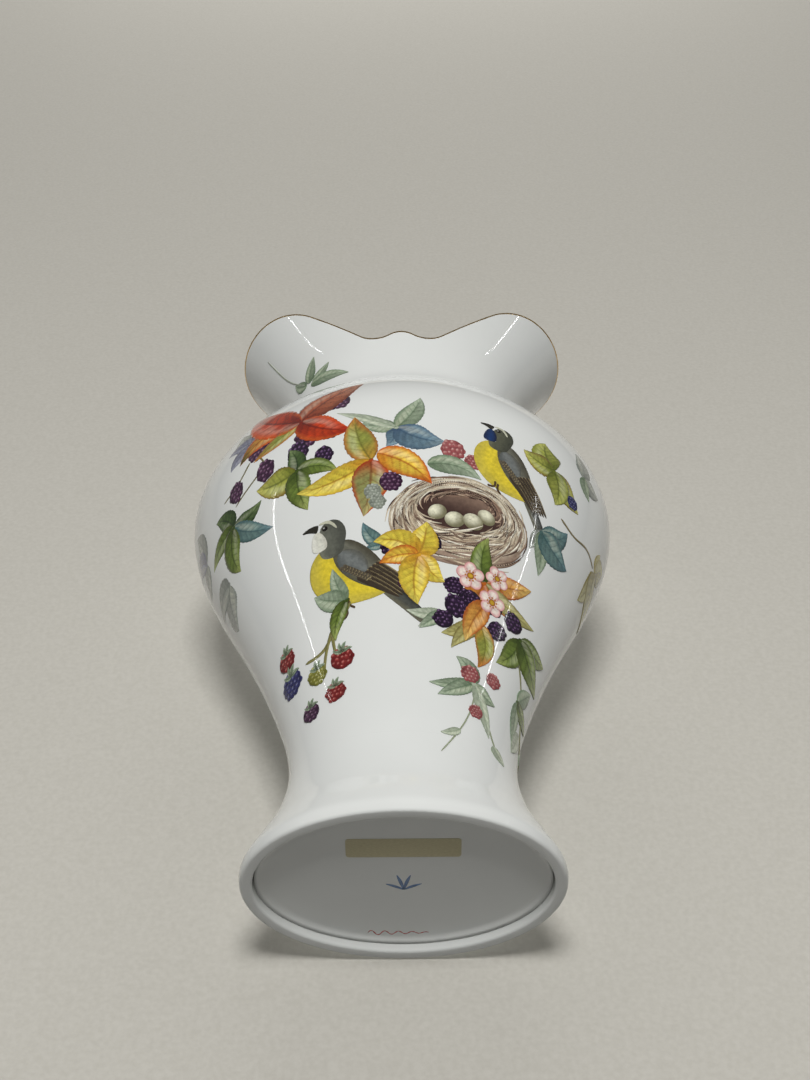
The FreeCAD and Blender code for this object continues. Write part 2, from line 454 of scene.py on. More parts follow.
def enamel(name, patches, place=on_belly):
    """A piece of fired enamel: a thin closed sheet on the glaze for each patch (s, z, colour)."""
    layers["count"] += 1
    lift = FIRST_LIFT + LIFT_STEP * layers["count"]
    points, colours, faces, flat, total = [], [], [], [], 0
    for s, z, colour in patches:
        size = s.size
        top = total + np.arange(size).reshape(s.shape)
        sheet = np.stack([top[:-1, :-1], top[1:, :-1], top[1:, 1:], top[:-1, 1:]], -1).reshape(-1, 4)
        rim = np.concatenate([top[:, 0], top[-1, 1:], top[-2::-1, -1], top[0, -2:0:-1]])
        after = np.roll(rim, -1)
        wall = np.stack([after, rim, rim + size, after + size], -1)
        flat += range(len(faces) + 2 * len(sheet), len(faces) + 2 * len(sheet) + len(wall))
        faces += sheet.tolist() + (sheet[:, ::-1] + size).tolist() + wall.tolist()
        points += [place(s, z, lift).reshape(-1, 3), place(s, z, SUNK).reshape(-1, 3)]
        colours += [colour.reshape(-1, 3)] * 2
        total += 2 * size
    piece = new_mesh(name, np.concatenate(points), faces, ENAMEL, flat, np.concatenate(colours))
    return piece


def ink(red, green, blue):
    """An enamel colour from 0-255 display values, laid a little deeper for the gloss above it."""
    share = np.array([red, green, blue]) / 255
    return np.where(share > 0.04045, ((share + 0.055) / 1.055) ** 2.4, share / 12.92) ** INK_DEPTH


def blend(one, other, share):
    share = np.clip(share, 0, 1)[..., None]
    return one * (1 - share) + other * share


def ease(value, low, high):
    """0 below low, 1 above high, smooth between."""
    t = np.clip((value - low) / (high - low), 0, 1)
    return t * t * (3 - 2 * t)


def mottle(u, v, fine=7.0):
    """Soft random unevenness over a patch, about -1 to 1."""
    total = 0 * u * v
    for k in (1, 2, 3, 4):
        way, start = rng.uniform(0, math.pi), rng.uniform(0, 6.3)
        total = total + np.sin(fine * k * (u * math.cos(way) + 0.4 * v * math.sin(way)) + start) / k
    return total / 2


def sweep(line, half, across):
    """A patch swept along a line of (s, z) points with a half width at each."""
    run = np.gradient(line, axis=0)
    run /= np.linalg.norm(run, axis=1, keepdims=True)
    v = np.linspace(-1, 1, across)
    s = line[:, :1] - run[:, 1:] * half[:, None] * v
    z = line[:, 1:] + run[:, :1] * half[:, None] * v
    u = np.linspace(0, 1, len(line))[:, None] + 0 * v
    return s, z, u, v + 0 * u


def stroke(points, halves, along=40, across=7, ends=16):
    """A smooth brush stroke through (s, z) points, with the half width at each.

    ends says how short its rounded ends are: 4 for a long soft end, 16 for a blunt one.
    """
    points = np.array(points, float)
    run = np.concatenate([[0], np.cumsum(np.hypot(*np.diff(points, axis=0).T))])
    at = np.linspace(0, run[-1], along)
    line = np.stack([natural_spline(run, points[:, k], at) for k in (0, 1)], 1)
    half = natural_spline(run, halves, at) * np.sqrt(1 - np.abs(np.linspace(-1, 1, along)) ** ends)
    return sweep(line, np.maximum(half, 0.08), across)


def oval(centre, radius, squash=1.0, lean=0.0, along=22, across=15):
    """A patch filling an ellipse: radius along its lean, radius x squash across."""
    reach = -np.cos(np.linspace(0.02, math.pi - 0.02, along))
    way = np.array([math.cos(lean), math.sin(lean)])
    line = np.array(centre) + radius * reach[:, None] * way
    half = radius * squash * np.sqrt(1 - reach**2)
    s, z, _, v = sweep(line, half, across)
    return s, z, 0 * v + reach[:, None], v * np.sqrt(1 - reach[:, None] ** 2)


# ---------------------------------------------------------------- leaves
# Leaf colours: at the root, in the middle, at the tip, along the rim, in the veins.
LEAF_INKS = {
    "scarlet": [(142, 40, 16), (206, 76, 28), (176, 52, 18), (216, 110, 50), (100, 20, 10)],
    "rust": [(150, 62, 30), (186, 112, 78), (196, 146, 120), (136, 78, 58), (118, 46, 24)],
    "two_tone": [(196, 70, 24), (214, 158, 70), (92, 104, 52), (196, 78, 34), (124, 48, 20)],
    "moss": [(206, 168, 74), (168, 174, 88), (196, 132, 66), (188, 120, 64), (112, 112, 48)],
    "gold": [(224, 172, 56), (236, 216, 88), (228, 214, 106), (210, 174, 70), (160, 108, 34)],
    "flame": [(230, 160, 54), (240, 208, 86), (212, 108, 40), (206, 98, 38), (172, 76, 28)],
    "amber": [(196, 112, 40), (226, 172, 88), (236, 206, 128), (186, 98, 44), (150, 78, 28)],
    "autumn": [(190, 84, 36), (168, 170, 110), (186, 178, 124), (196, 70, 34), (128, 66, 34)],
    "sage": [(136, 154, 126), (164, 178, 154), (186, 198, 176), (126, 146, 120), (104, 124, 98)],
    "blue": [(84, 108, 132), (122, 148, 162), (150, 170, 178), (98, 124, 144), (70, 96, 118)],
    "pale": [(184, 194, 174), (196, 204, 184), (206, 212, 196), (164, 176, 154), (150, 164, 140)],
    "dark": [(56, 82, 44), (90, 114, 66), (132, 150, 104), (52, 74, 42), (36, 56, 28)],
    "leaf": [(78, 98, 34), (128, 148, 70), (172, 182, 112), (92, 104, 44), (54, 70, 24)],
    "lime": [(124, 134, 44), (182, 186, 92), (204, 200, 116), (142, 116, 56), (92, 102, 38)],
    "olive": [(118, 128, 42), (172, 178, 88), (196, 198, 116), (124, 128, 54), (84, 94, 32)],
    "straw": [(160, 150, 88), (186, 180, 118), (196, 192, 136), (142, 130, 76), (128, 118, 64)],
    "grey": [(148, 154, 146), (170, 174, 166), (184, 188, 180), (134, 140, 134), (124, 130, 124)],
    "lilac": [(136, 138, 158), (158, 160, 176), (176, 178, 188), (116, 118, 140), (106, 108, 132)],
    "teal": [(84, 118, 116), (124, 152, 148), (114, 144, 150), (74, 106, 110), (60, 92, 98)],
}


# Sprays of leaves: highest leaf tip and highest middle, then the range of each chance change.
LEAF_TOP, HUB_TOP = 226.0, 206.0
SHIFT_S, SHIFT_Z = 4.5, 4.0
SWING, LEAF_TURN, LEAF_STRETCH = (0.3, 0.6), 0.22, (0.82, 1.12)


def leaf(colours, base, tip, width, bend, teeth=11):
    """A pointed toothed leaf with a midrib, side veins, a darker half and a tinted rim."""
    base, tip = np.array(base, float), np.array(tip, float)
    u = np.linspace(0, 1, 76)
    reach = tip - base
    bow = np.array([-reach[1], reach[0]]) * bend
    line = base + u[:, None] * reach + (4 * u * (1 - u))[:, None] * bow
    outline = u**0.6 * (1 - u) ** 1.05 / (0.364**0.6 * 0.636**1.05)
    notch = 1 - 0.07 * ((u * teeth) % 1)
    half = width / 2 * outline * notch + 0.1
    s, z, u, v = sweep(line, half, 17)
    root, middle, end, rim, vein = (ink(*c) for c in LEAF_INKS[colours])
    colour = blend(root, middle, ease(u + 0.06 * mottle(u, v), 0.02, 0.42))
    colour = blend(colour, end, ease(u + 0.1 * mottle(u, v), 0.55, 1.0))
    edge = ease(np.abs(v) + 0.14 * mottle(u, v), 0.6, 1.0)
    colour = blend(colour, rim, 0.85 * edge)
    sheen = ease(v + 0.25 * mottle(u, v, 11), 0.05, 0.4) * ease(v, 0.85, 0.5) * ease(u, 0.9, 0.4)
    colour = blend(colour, ink(238, 236, 216), 0.24 * sheen)
    rank = (u * 7 - np.abs(v) * 1.3) % 1
    hollow = np.exp(-(((rank - 0.5) / 0.08) ** 2)) * ease(np.abs(v), 1.0, 0.45)
    colour = blend(colour, vein, 0.62 * hollow)
    scratch = ease(np.sin(34 * v + 9 * u + 4 * mottle(u, v, 13)), 0.75, 1.0) * ease(u, 0.75, 0.1)
    colour = blend(colour, vein, 0.3 * scratch)
    colour *= (1.1 - 0.26 * (v < 0) + 0.18 * (rank - 0.5) + 0.08 * mottle(u, v, 16))[..., None]
    rib = np.exp(-((v * half[:, None] / 0.24) ** 2)) * ease(u, 1.0, 0.7)
    return s, z, blend(colour, vein, 0.8 * rib)


def cluster(name, centre, rows):
    """Leaves spreading from about one point: (colours, tip s, tip z, width, bend) for each.

    The spray is moved, turned and stretched by seeded chance, so no spray copies another.
    """
    shift = np.array([rng.uniform(-SHIFT_S, SHIFT_S), rng.uniform(-SHIFT_Z, SHIFT_Z)])
    swing = rng.choice([-1, 1]) * rng.uniform(*SWING)
    centre = np.array(centre, float)
    hub_place = centre + shift
    hub_place[1] = min(hub_place[1], HUB_TOP)
    for k, (colours, s, z, width, bend) in enumerate(rows):
        turn = swing + rng.uniform(-LEAF_TURN, LEAF_TURN)
        reach = (np.array([s, z]) - centre) * rng.uniform(*LEAF_STRETCH)
        ds = reach[0] * math.cos(turn) - reach[1] * math.sin(turn)
        dz = reach[0] * math.sin(turn) + reach[1] * math.cos(turn)
        tip = (hub_place[0] + ds, min(hub_place[1] + dz, LEAF_TOP))
        enamel(f"{name}_leaf_{k + 1}", [leaf(colours, hub_place, tip, width, -bend)])
    s, z, _, v = oval(hub_place, 0.95, 0.9, 0.4, 10, 7)
    hub = blend(ink(*LEAF_INKS[rows[-1][0]][0]), ink(*LEAF_INKS[rows[0][0]][4]), ease(v, 0.2, 0.9))
    enamel(f"{name}_hub", [(s, z, hub)])


def stems(name, lines, colour=(124, 116, 76), half=0.38):
    """Thin stalks, each through its own points."""
    patches = []
    for points in lines:
        s, z, u, v = stroke(points, [half * 1.2] + [half] * (len(points) - 1), 30, 5)
        shade = 1 + 0.25 * v + 0.12 * mottle(u, v)
        patches.append((s, z, ink(*colour) * shade[..., None]))
    enamel(name, patches)


# ---------------------------------------------------------------- berries, flowers

BERRY_SHIFT = 2.6
BERRY_INKS = {
    "black": [(48, 26, 58), (96, 62, 110), (168, 140, 176)],
    "plum": [(74, 40, 72), (128, 86, 118), (190, 160, 184)],
    "blue": [(50, 52, 104), (96, 98, 156), (176, 178, 208)],
    "red": [(132, 40, 42), (190, 88, 82), (232, 172, 160)],
    "pink": [(168, 96, 98), (206, 146, 142), (236, 204, 196)],
    "green": [(138, 138, 60), (184, 182, 100), (220, 218, 160)],
    "pale": [(160, 166, 154), (186, 192, 180), (212, 216, 204)],
}


def berry(name, kind, s, z, radius, leafy=False, tall=1.0):
    """A bramble berry near (s, z): rows of round drupelets, each with its own shade and glint."""
    s, z = s + rng.uniform(-BERRY_SHIFT, BERRY_SHIFT), z + rng.uniform(-BERRY_SHIFT, BERRY_SHIFT)
    dark, fill, glint = (ink(*c) for c in BERRY_INKS[kind])
    patches = []
    if leafy:
        for turn in (0.6, 1.3, 1.85, 2.55):
            end = (s + 1.05 * radius * math.cos(turn), z + 1.6 * radius * math.sin(turn))
            patches.append(leaf("sage", (s, z + 0.6 * radius), end, radius * 0.36, 0.1, 3))
    ps, pz, u, v = oval((s, z), radius * 1.04, 0.94)
    back = ink(*BERRY_INKS[kind][0]) * (0.75 + 0.15 * mottle(u, v))[..., None]
    patches.append((ps, pz, back))
    step = radius * 0.46
    for row in range(-2, 3):
        for column in range(-3, 4):
            ds = (column + 0.5 * (row % 2)) * step + rng.uniform(-0.08, 0.08) * radius
            dz = row * step * 0.86 + rng.uniform(-0.08, 0.08) * radius
            if math.hypot(ds, dz) > radius * 0.93:
                continue
            ps, pz, u, v = oval((s + ds, z + dz), step * 0.6, 0.95, 0, 9, 7)
            lit = ease(np.hypot(u + 0.3, v - 0.35), 0.9, 0.05)
            colour = blend(dark, fill, lit + 0.2 * rng.uniform(-1, 1) + 0 * u)
            patches.append((ps, pz, blend(colour, glint, ease(np.hypot(u + 0.3, v - 0.35), 0.42, 0.1))))
    enamel(name, [(ps, z + (pz - z) * tall, colour) for ps, pz, colour in patches])


def flower(name, s, z, radius, turn):
    """Five pink-white petals round a yellow eye with stamens."""
    white, blush, deep = ink(244, 232, 222), ink(232, 180, 178), ink(190, 112, 120)
    patches = []
    for k in range(5):
        way = turn + k * 2 * math.pi / 5
        out = np.array([math.cos(way), math.sin(way)])
        ps, pz, u, v = oval(np.array([s, z]) + out * radius * 0.58, radius * 0.46, 0.98, way, 16, 13)
        far = np.hypot(u, v)
        colour = blend(white, blush, ease(far + 0.1 * mottle(u, v), 0.45, 0.95))
        colour = blend(colour, deep, 0.6 * ease(far, 0.9, 1.0))
        patches.append((ps, pz, blend(colour, deep, 0.3 * np.exp(-((v / 0.1) ** 2)) * (u < 0.1))))
    enamel(f"{name}_petals", patches)
    ps, pz, u, v = oval((s, z), radius * 0.26, 1.0, 0, 12, 9)
    patches = [(ps, pz, blend(ink(214, 178, 62), ink(160, 96, 40), ease(np.hypot(u, v), 0.3, 1.0)))]
    for k in range(9):
        way = turn + k * 2 * math.pi / 9
        spot = (s + 0.36 * radius * math.cos(way), z + 0.36 * radius * math.sin(way))
        ps, pz, u, v = oval(spot, radius * 0.07, 1.0, 0, 6, 5)
        patches.append((ps, pz, ink(196, 132, 40) + 0 * u[..., None]))
    enamel(f"{name}_eye", patches)


# ---------------------------------------------------------------- nest

NEST, NEST_REACH, NEST_LEAN = np.array([22.0, 134.5]), np.array([27.0, 18.6]), 0.07
HOLLOW, HOLLOW_REACH, HOLLOW_LEAN = np.array([22.8, 139.0]), np.array([17.6, 9.6]), 0.05
STRAW_INKS = [
    (244, 238, 222),
    (232, 222, 200),
    (214, 200, 176),
    (188, 170, 148),
    (146, 124, 108),
    (96, 76, 68),
]
GLOOM_INKS = [(200, 178, 156), (158, 132, 114), (104, 80, 72), (64, 46, 44)]


def ring_point(share, turn):
    """A point between the nest's hollow (share 0) and its outside (share 1)."""
    lean = HOLLOW_LEAN + (NEST_LEAN - HOLLOW_LEAN) * share
    reach = HOLLOW_REACH + (NEST_REACH - HOLLOW_REACH) * share
    centre = HOLLOW + (NEST - HOLLOW) * share
    x, y = reach[0] * np.cos(turn), reach[1] * np.sin(turn)
    s = centre[0] + x * math.cos(lean) - y * math.sin(lean)
    z = centre[1] + x * math.sin(lean) + y * math.cos(lean)
    return np.array([s, z])


def straws(name, count, low, high, inks, first=0.0, last=2 * math.pi):
    """Loose bent straws laid round the nest, share low to high, between two turns."""
    patches = []
    for _ in range(count):
        share, start = rng.uniform(low, high), rng.uniform(first, last)
        span, drift = rng.uniform(0.25, 0.85), rng.uniform(-0.24, 0.24)
        line = [ring_point(share + drift * k / 3, start + span * k / 3) for k in range(4)]
        s, z, u, v = stroke(line, [0.08, 0.3, 0.26, 0.06], 18, 4)
        colour = ink(*rng.choice(inks)) * rng.uniform(0.85, 1.15)
        patches.append((s, z, colour * (1 + 0.22 * v + 0.1 * mottle(u, v))[..., None]))
    enamel(name, patches)


def nest():
    """Wall of woven straw, dark hollow, four eggs and the near rim in front of them."""
    s, z, u, v = oval(NEST, NEST_REACH[0], NEST_REACH[1] / NEST_REACH[0], NEST_LEAN, 70, 46)
    woven = np.sin(26 * np.hypot(u, v) + 3 * mottle(u, v)) * 0.5 + 0.5
    wall = blend(ink(150, 132, 114), ink(222, 210, 188), woven)
    wall = blend(wall, ink(168, 146, 130), ease(-v, 0.2, 0.9))
    enamel("nest_wall", [(s, z, wall)])
    straws("nest_outer_straws", 300, 0.1, 0.96, STRAW_INKS)
    squash = HOLLOW_REACH[1] / HOLLOW_REACH[0]
    s, z, u, v = oval(HOLLOW, HOLLOW_REACH[0], squash, HOLLOW_LEAN, 56, 36)
    gloom = blend(ink(84, 62, 56), ink(158, 134, 118), ease(v + 0.5 * u + 0.1 * mottle(u, v), -0.2, 1.1))
    enamel("nest_hollow", [(s, z, gloom)])
    straws("nest_hollow_straws", 130, -0.8, 0.0, GLOOM_INKS, -0.6, 2.6)
    eggs = [
        (13.4, 137.0, 3.7, 0.5),
        (32.6, 138.0, 3.6, -0.4),
        (20.0, 134.6, 3.9, 0.2),
        (27.2, 135.0, 4.0, -0.2),
    ]
    for k, (s0, z0, radius, lean) in enumerate(eggs):
        s, z, u, v = oval((s0, z0), radius, 0.84, lean, 24, 17)
        lit = ease(np.hypot(u + 0.2, v - 0.4), 1.25, 0.1)
        shell = blend(ink(140, 136, 108), ink(244, 242, 218), lit)
        freckle = ease(mottle(3 * u, 3 * v, 9), 0.55, 0.9)
        enamel(f"nest_egg_{k + 1}", [(s, z, blend(shell, ink(150, 140, 108), 0.5 * freckle))])
    straws("nest_stray_straws", 22, 0.9, 1.1, STRAW_INKS[2:])
    straws("nest_near_rim_straws", 80, -0.04, 0.3, STRAW_INKS, 3.0, 6.0)
    straws("nest_far_rim_straws", 46, -0.02, 0.16, STRAW_INKS[:4], 0.0, 3.0)


# ---------------------------------------------------------------- birds


def plumage(u, v, colour, along=34, depth=0.1):
    """Fine overlapping feather strokes laid over a colour."""
    barbs = np.sin(19 * v + 6 * mottle(u, v, 14)) * ease(np.sin(along * u + 9 * v), -0.6, 0.6)
    return colour * (1 + depth * barbs + 0.06 * mottle(u, v, 20))[..., None]


def rounded(v, dark, middle, light):
    """Painted roundness: light on one side of a stroke, dark on the other."""
    colour = blend(middle, light, ease(v, 0.0, 0.8))
    return blend(colour, dark, ease(-v, 0.25, 1.0))


def feathers(name, roots, tips, half, fill, edge):
    """Long wing feathers side by side, dark with a thin pale edge."""
    patches = []
    for root, tip in zip(roots, tips):
        middle = (np.array(root) + np.array(tip)) / 2
        s, z, u, v = stroke([root, middle, tip], [half * 0.9, half, half * 0.3], 34, 9)
        colour = blend(ink(*fill), ink(*fill) * 1.5, ease(v, -0.2, 0.7))
        patches.append((s, z, blend(colour, ink(*edge), ease(v, 0.62, 0.9) * ease(u, 1.0, 0.9))))
    enamel(name, patches)


def scallops(name, start, end, rows, dark, pale):
    """Rows of small dark wing coverts between two places, each with a pale rim below."""
    start, end = np.array(start, float), np.array(end, float)
    along = (end - start) / np.hypot(*(end - start))
    aside = np.array([-along[1], along[0]])
    patches = []
    for row in range(rows):
        count = 10 - row
        for k in range(count):
            place = start + (end - start) * (k + 0.5 * (row % 2)) / count + 1.2 * row * aside
            s, z, u, v = oval(place, 1.1, 0.7, -0.75, 12, 9)
            lip = ease(u, 0.35, 0.75) * ease(np.hypot(u, v), 0.6, 0.85)
            fill = blend(ink(*dark), ink(*dark) * 1.6, ease(-u, 0, 1))
            patches.append((s, z, blend(fill, ink(*pale), lip)))
    enamel(name, patches)


def face(name, eye, size):
    """A dark round eye with a glint."""
    s, z, u, v = oval(eye, size, 0.85, 0.2, 12, 9)
    ball = blend(ink(18, 16, 16), ink(70, 60, 50), ease(np.hypot(u, v), 0.7, 1.0))
    glint = ease(np.hypot(u + 0.3, v - 0.35), 0.3, 0.1)
    enamel(f"{name}_eye", [(s, z, blend(ball, ink(240, 240, 235), glint))])


def songbird(name, perch, facing, lean, size, crown_inks, throat_inks):
    """A plain small songbird of no named kind, built on its own simple proportions.

    perch is under its feet, facing is 1 for right and -1 for left, lean tips it back.
    Its parts are drawn in millimetres ahead of the feet and above them.
    """

    def spot(ahead, above):
        across = ahead * math.cos(lean) - above * math.sin(lean)
        up = ahead * math.sin(lean) + above * math.cos(lean)
        return (perch[0] + facing * size * across, perch[1] + size * up)

    def part(label, points, halves, colour, ends=8, along=60, across=23):
        s, z, u, v = stroke([spot(*p) for p in points], [size * h for h in halves], along, across, ends)
        enamel(f"{name}_{label}", [(s, z, colour(u, v * facing))])

    def soft(low, middle, high, fine=26, depth=0.07):
        low, middle, high = ink(*low), ink(*middle), ink(*high)
        return lambda u, v: plumage(u, v, rounded(v, low, middle, high), fine, depth)

    tail = [(-10, 6), (-17, 1.5), (-24, -3.5)]
    part("tail", tail, [1.9, 2.1, 1.8], soft((64, 66, 64), (92, 94, 88), (118, 116, 100)), 14)
    breast = [(8.6, 18.5), (8.8, 12.0), (4.4, 6.6), (-3.0, 5.0), (-12.0, 5.4)]
    yellow = soft((186, 166, 56), (232, 212, 70), (210, 194, 84), 30, 0.05)
    part("breast", breast, [3.6, 5.4, 5.8, 4.4, 1.0], yellow)
    back = [(6.4, 20.0), (1.6, 15.4), (-5.4, 10.4), (-14.0, 5.0)]
    part("back", back, [3.2, 5.0, 4.6, 0.9], soft((92, 88, 74), (122, 122, 110), (106, 104, 88)))
    roots = [spot(-1.4 - 1.0 * k, 8.8 + 1.0 * k) for k in range(6)]
    tips = [spot(-15.0 - 0.9 * k, 3.0 + 0.7 * k) for k in range(6)]
    feathers(f"{name}_flight_feathers", roots, tips, size, (76, 66, 54), (196, 180, 136))
    shoulder = [(5.4, 17.0), (1.4, 14.0), (-4.0, 11.0)]
    slate = soft((108, 108, 100), (130, 134, 132), (106, 110, 108), 20)
    part("shoulder", shoulder, [1.8, 3.8, 2.0], slate, 5)
    scallops(f"{name}_coverts", spot(3.6, 11.6), spot(-5.0, 8.0), 2, (98, 90, 76), (176, 162, 126))
    neck = [(7.2, 15.4), (8.4, 19.6), (9.8, 23.6), (12.8, 25.0)]
    part("head", neck, [3.8, 4.2, 4.7, 2.8], soft(*crown_inks, 22), 5)
    throat = [(14.2, 24.0), (12.8, 21.0), (11.6, 17.6)]
    part("throat", throat, [0.9, 2.3, 2.4], soft(*throat_inks), 6, 34, 15)
    brow = [(7.6, 25.0), (10.6, 27.0), (13.6, 26.4)]
    part("brow", brow, [0.3, 0.5, 0.3], soft(*[(206, 206, 186)] * 3), 8, 24, 5)
    bill = [(13.6, 25.0), (16.0, 25.0), (18.6, 24.2)]
    part("bill", bill, [1.4, 0.9, 0.2], soft(*[(56, 54, 46)] * 3), 16, 26, 7)
    face(name, spot(11.4, 25.0), 0.95 * size)
    front_toes = [spot(1.6, 2.4), spot(1.0, 0.4), spot(3.2, -1.0)]
    rear_toes = [spot(0.2, 2.2), spot(-0.4, 0.2), spot(-2.4, -1.0)]
    stems(f"{name}_feet", [front_toes, rear_toes], (96, 78, 54), 0.45)


# ---------------------------------------------------------------- the composition
# Later pieces lie over earlier ones.

stems("left_stalks", [
    [(-62, 181), (-57, 173), (-64, 165), (-71, 160)],
    [(-64, 178), (-70, 170), (-78, 166)],
])
cluster("lilac", (-66, 184), [
    ("grey", -82, 199, 13, -0.1),
    ("lilac", -80, 181, 10, 0.2),
    ("lilac", -72, 171, 9, 0.17),
    ("grey", -70, 204, 9, 0.1),
])
cluster("left_edge", (-94, 150), [
    ("grey", -106, 162, 10, 0.1),
    ("grey", -99, 140, 10, -0.1),
    ("lilac", -112, 151, 8, 0.15),
])
cluster("left_low", (-80, 131), [("grey", -74, 113, 13, 0.13), ("grey", -92, 120, 9, 0.1)])
cluster("fern", (-71, 150), [
    ("dark", -74, 163, 9, 0.12),
    ("leaf", -88, 155, 8, 0.07),
    ("dark", -54, 144, 8, 0.16),
    ("teal", -62, 129, 8, 0.08),
    ("leaf", -77, 131, 11, 0.17),
])
SHADE_BERRIES = [
    (-57, 188, 5.2),
    (-62, 184, 4.6),
    (-36, 179, 5.0),
    (-41, 174, 4.2),
    (-27, 182, 4.4),
    (-28, 199, 4.6),
    (-31, 165, 3.6),
    (-55, 168, 4.0),
    (-73, 168, 3.6),
]
for k, (s, z, radius) in enumerate(SHADE_BERRIES):
    berry(f"shade_berry_{k + 1}", "plum" if k % 3 else "black", s, z, radius, tall=1.35)
cluster("green", (-40, 162), [
    ("dark", -50, 173, 8, 0.1),
    ("leaf", -22, 165, 8, -0.12),
    ("lime", -60, 154, 14, -0.11),
    ("leaf", -27, 146, 11, 0.07),
])
cluster("blue", (2, 173), [
    ("sage", -8, 186, 8, 0.02),
    ("sage", 19, 189, 10, 0.08),
    ("blue", -9, 166, 8, -0.13),
    ("blue", 17, 159, 14, 0.12),
    ("pale", -8, 198, 5, 0.0),
])
cluster("scarlet", (-38, 193), [
    ("rust", -25, 227, 16, -0.03),
    ("two_tone", -50, 168, 13, 0.17),
    ("moss", -44, 168, 7, -0.03),
    ("scarlet", -69, 205, 20, -0.15),
    ("scarlet", -9, 189, 16, 0.11),
])
cluster("autumn", (-10, 164), [
    ("moss", -2, 188, 13, -0.07),
    ("gold", -41, 166, 12, -0.11),
    ("autumn", -26, 146, 15, -0.04),
])
berry("nest_berry_1", "pink", 20.8, 164, 4.4, tall=1.2)
berry("nest_berry_2", "pink", 26, 160, 3.4)
berry("nest_berry_3", "plum", -6.3, 148, 4.2)
berry("nest_berry_4", "pale", -11.5, 145, 3.2)
berry("nest_berry_5", "pale", -8.5, 140.5, 3.0)
enamel("nest_back_leaf", [leaf("sage", (10, 158), (31, 154), 9, 0.12)])
nest()
enamel("autumn_leaf_4", [leaf("flame", (-9.5, 163.5), (11.5, 149.0), 13, 0.08)])
olive_crown = [(120, 120, 100), (100, 102, 86), (82, 84, 72)]
blue_throat = [(18, 36, 70), (28, 66, 116), (22, 52, 96)]
songbird("nesting_bird", (37.0, 152.0), -1, 0.5, 1.1, olive_crown, blue_throat)
cluster("water_low", (-4, 121), [("teal", -15, 130, 6, -0.11), ("teal", -10, 118, 4, 0.05)])
grey_crown = [(136, 138, 124), (114, 116, 106), (94, 96, 88)]
white_throat = [(214, 212, 200), (228, 228, 216), (236, 236, 226)]
songbird("perched_bird", (-20, 100), -1, 0.15, 1.25, grey_crown, white_throat)
cluster("water", (59, 145), [
    ("grey", 50, 142, 5, 0.0),
    ("teal", 76, 145, 9, 0.16),
    ("sage", 50, 132, 7, -0.04),
    ("teal", 66, 128, 13, 0.09),
])
stems("water_stalk", [[(67, 152), (75, 149), (84, 150), (92, 148)]], (140, 128, 92))
cluster("hedge", (64, 171), [
    ("olive", 55, 185, 15, -0.14),
    ("lime", 49, 168, 11, -0.11),
    ("lime", 85, 164, 12, 0.09),
    ("olive", 69, 155, 12, -0.13),
])
berry("hedge_bud", "blue", 73, 164, 2.8)
cluster("ash", (78, 185), [
    ("grey", 70, 197, 9, 0.1),
    ("grey", 90, 184, 9, 0.16),
    ("sage", 86, 177, 6, 0.1),
])
cluster("right_edge", (93, 148), [
    ("straw", 98, 158, 7, 0.0),
    ("straw", 78, 137, 7, -0.05),
    ("straw", 108, 150, 9, -0.06),
    ("straw", 87, 127, 13, 0.12),
])

berry("bouquet_berry_1", "black", -1.5, 122.4, 4.2)
berry("bouquet_berry_2", "black", 13.0, 122.6, 3.8)
berry("bouquet_berry_3", "plum", 3.2, 106.0, 3.2)
berry("bouquet_berry_4", "black", 16.5, 109.0, 3.4)
cluster("posy", (31, 108), [
    ("sage", 45, 123, 7, 0.08),
    ("amber", 49, 121, 9, 0.04),
    ("amber", 51, 107, 9, 0.08),
    ("straw", 57, 109, 7, 0.11),
    ("leaf", 23, 123, 9, -0.1),
    ("amber", 44, 89, 12, 0.12),
])
cluster("posy_low", (31, 94), [
    ("straw", 19, 84, 7, -0.06),
    ("straw", 25, 78, 6, 0.06),
    ("moss", 41, 80, 8, -0.15),
])
cluster("pale_low", (17, 97), [
    ("pale", 6, 92, 5, -0.09),
    ("pale", 11, 88, 4, 0.0),
    ("sage", 14, 86, 5, 0.01),
])
POSY_BERRIES = [
    (18.5, 99.0, 4.6),
    (24.0, 101.5, 4.2),
    (15.6, 94.6, 3.6),
    (35.0, 104.0, 3.4),
    (45.8, 102.5, 3.8),
    (34.4, 92.4, 3.6),
    (27.5, 104.5, 3.0),
]
for k, (s, z, radius) in enumerate(POSY_BERRIES):
    berry(f"posy_berry_{k + 1}", "black", s, z, radius)
enamel("posy_leaf_7", [leaf("amber", (32, 103.5), (23, 86), 9, -0.06)])
cluster("golden", (7.5, 118), [
    ("gold", 4.5, 133, 12, 0.05),
    ("gold", -8, 114, 11, 0.16),
    ("flame", -1, 106.5, 8, 0.09),
    ("gold", 23.5, 113, 10, 0.1),
    ("gold", 17.5, 99, 12, 0.08),
])
flower("blossom_1", 25.6, 112.6, 5.4, 0.3)
flower("blossom_2", 36.4, 114.6, 4.6, 0.7)
flower("blossom_3", 34.0, 104.4, 5.2, 0.1)

